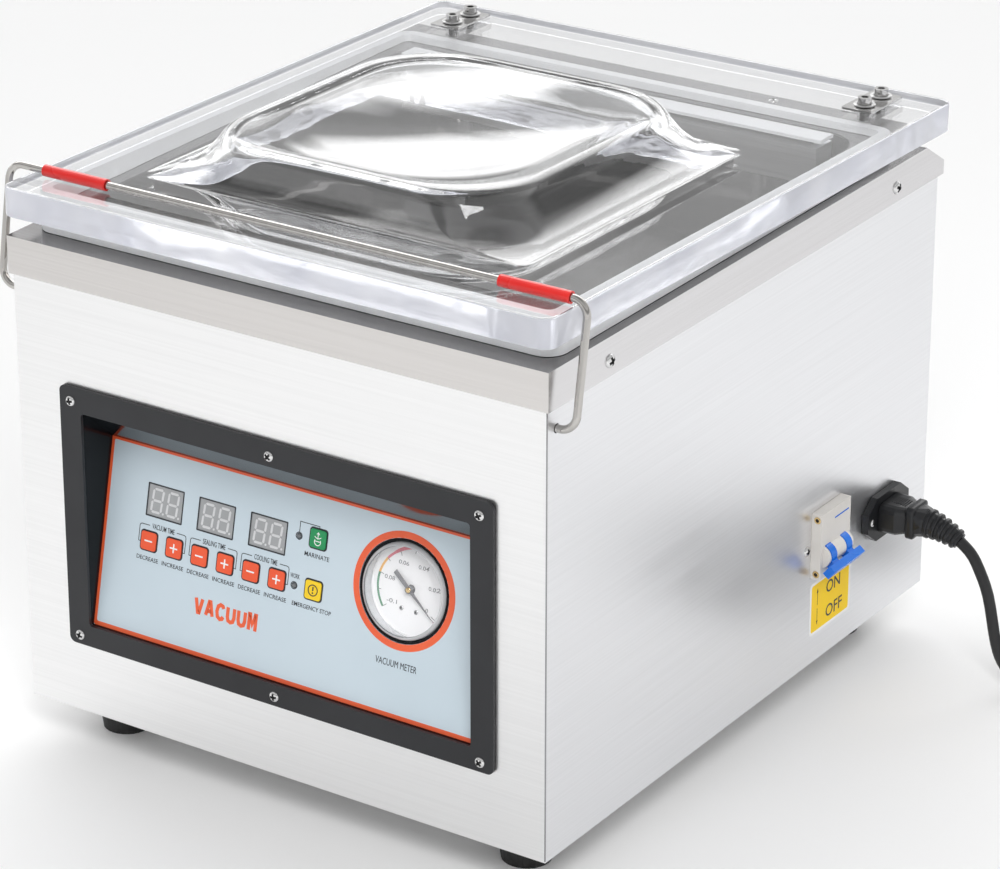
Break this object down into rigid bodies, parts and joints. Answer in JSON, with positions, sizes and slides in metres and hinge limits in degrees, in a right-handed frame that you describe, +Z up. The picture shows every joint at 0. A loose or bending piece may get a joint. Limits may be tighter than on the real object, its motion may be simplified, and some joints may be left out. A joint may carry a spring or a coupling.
{
  "type": "chamber vacuum packing machine",
  "caption": "Table-top chamber vacuum sealer: steel cabinet, thick clear hinged lid with a raised dome, wire bail over the lid, recessed control panel with a vacuum gauge.",
  "frame": {"origin": "on the floor under the middle of the cabinet; the object without its supply cord is centred on it", "axes": "+X to the machine's right as seen from its front, the side with the switch and inlet; +Y to the back, where the lid is hinged; +Z up"},
  "size_m": [0.5672, 0.5101, 0.3729],
  "materials": {
    "brushed_stainless": "satin",
    "polished_stainless": "polished",
    "black_rubber": "matte",
    "aluminium_bar": "satin",
    "seal_tape": "woven, smooth",
    "clear_acrylic": "clear, glossy",
    "white_silicone": "satin",
    "red_sleeve": "glossy",
    "charcoal_bezel": "satin",
    "black_gloss": "glossy",
    "panel_blue_grey": "satin",
    "display_face": "glossy",
    "orange_key": "matte",
    "green_key": "matte",
    "yellow_key": "matte",
    "circuit_board": "matte",
    "dial_white": "matte",
    "gauge_glass": "clear",
    "needle_grey": "matte",
    "breaker_grey": "matte",
    "toggle_blue": "glossy",
    "black_moulding": "satin",
    "cord_sheath": "satin",
    "pump_casting": "rough",
    "motor_paint": "satin"
  },
  "bodies": {
    "base": {"base_plate": "brushed_stainless", "breaker_body": "breaker_grey", "cabinet": "brushed_stainless", "chamber_tub": "polished_stainless", "control_board": "circuit_board", "control_housing": "black_gloss", "control_panel": "panel_blue_grey", "cord_coil": "cord_sheath", "display_1": "display_face", "display_2": "display_face", "display_3": "display_face", "foot_FL": "black_rubber", "foot_FR": "black_rubber", "foot_RL": "black_rubber", "foot_RR": "black_rubber", "gauge_case": "black_gloss", "gauge_dial": "dial_white", "gauge_lens": "gauge_glass", "hinge_bracket_L": "polished_stainless", "hinge_bracket_R": "polished_stainless", "panel_bezel": "charcoal_bezel", "power_connector": "black_moulding", "power_cord": "cord_sheath", "power_inlet": "black_moulding", "pump_body": "pump_casting", "pump_motor": "motor_paint", "rear_panel": "brushed_stainless", "seal_piston_L": "polished_stainless", "seal_piston_R": "polished_stainless", "top_deck": "brushed_stainless", "transformer": "motor_paint", "wall_plug": "black_moulding"},
    "lid": {"lid": "clear_acrylic", "lid_gasket": "white_silicone", "lid_seal_pad": "white_silicone", "hinge_plate_L": "polished_stainless", "hinge_plate_R": "polished_stainless", "hinge_leaf_L": "polished_stainless", "hinge_leaf_R": "polished_stainless", "hinge_screw_L1": "polished_stainless", "hinge_screw_L2": "polished_stainless", "hinge_screw_R1": "polished_stainless", "hinge_screw_R2": "polished_stainless"},
    "bail": {"bail_wire": "polished_stainless", "bail_sleeve_L": "red_sleeve", "bail_sleeve_R": "red_sleeve"},
    "breaker_handle": {"breaker_handle": "toggle_blue"},
    "gauge_needle": {"gauge_needle": "needle_grey"},
    "seal_bar": {"seal_bar": "aluminium_bar", "heating_strip": "seal_tape"},
    "motor_fan": {"motor_fan": "black_moulding"},
    "key_vacuum_less": {"key_vacuum_less": "orange_key"},
    "key_vacuum_more": {"key_vacuum_more": "orange_key"},
    "key_seal_less": {"key_seal_less": "orange_key"},
    "key_seal_more": {"key_seal_more": "orange_key"},
    "key_cool_less": {"key_cool_less": "orange_key"},
    "key_cool_more": {"key_cool_more": "orange_key"},
    "key_marinate": {"key_marinate": "green_key"},
    "key_stop": {"key_stop": "yellow_key"}
  },
  "joints": [
    {"name": "lid_hinge", "type": "hinge", "parent": "base", "child": "lid", "pos_m": [0, 0.203, 0.303], "axis": [-1, 0, 0], "range_deg": [0, 70]},
    {"name": "bail_swing", "type": "hinge", "parent": "base", "child": "bail", "pos_m": [0, -0.205, 0.2813], "axis": [1, 0, 0], "range_deg": [0, 165]},
    {"name": "breaker_toggle", "type": "hinge", "parent": "base", "child": "breaker_handle", "pos_m": [0.184, 0.0898, 0.0975], "axis": [0, -1, 0], "range_deg": [0, 76]},
    {"name": "gauge_needle_turn", "type": "hinge", "parent": "base", "child": "gauge_needle", "pos_m": [0.0759, -0.19698, 0.15535], "axis": [0, -0.977, 0.213], "range_deg": [0, 258], "stiffness_Nm_per_rad": 0.0002},
    {"name": "seal_bar_lift", "type": "slide", "parent": "base", "child": "seal_bar", "axis": [0, 0, 1], "range_m": [0, 0.002]},
    {"name": "motor_fan_spin", "type": "hinge", "parent": "base", "child": "motor_fan", "pos_m": [0.085, 0, 0.0796], "axis": [1, 0, 0], "continuous": true},
    {"name": "key_vacuum_less_press", "type": "slide", "parent": "base", "child": "key_vacuum_less", "axis": [0, 0.977, -0.213], "range_m": [0, 0.0006], "stiffness_N_per_m": 1500},
    {"name": "key_vacuum_more_press", "type": "slide", "parent": "base", "child": "key_vacuum_more", "axis": [0, 0.977, -0.213], "range_m": [0, 0.0006], "stiffness_N_per_m": 1500},
    {"name": "key_seal_less_press", "type": "slide", "parent": "base", "child": "key_seal_less", "axis": [0, 0.977, -0.213], "range_m": [0, 0.0006], "stiffness_N_per_m": 1500},
    {"name": "key_seal_more_press", "type": "slide", "parent": "base", "child": "key_seal_more", "axis": [0, 0.977, -0.213], "range_m": [0, 0.0006], "stiffness_N_per_m": 1500},
    {"name": "key_cool_less_press", "type": "slide", "parent": "base", "child": "key_cool_less", "axis": [0, 0.977, -0.213], "range_m": [0, 0.0006], "stiffness_N_per_m": 1500},
    {"name": "key_cool_more_press", "type": "slide", "parent": "base", "child": "key_cool_more", "axis": [0, 0.977, -0.213], "range_m": [0, 0.0006], "stiffness_N_per_m": 1500},
    {"name": "key_marinate_press", "type": "slide", "parent": "base", "child": "key_marinate", "axis": [0, 0.977, -0.213], "range_m": [0, 0.0006], "stiffness_N_per_m": 1500},
    {"name": "key_stop_press", "type": "slide", "parent": "base", "child": "key_stop", "axis": [0, 0.977, -0.213], "range_m": [0, 0.0006], "stiffness_N_per_m": 1500}
  ]
}
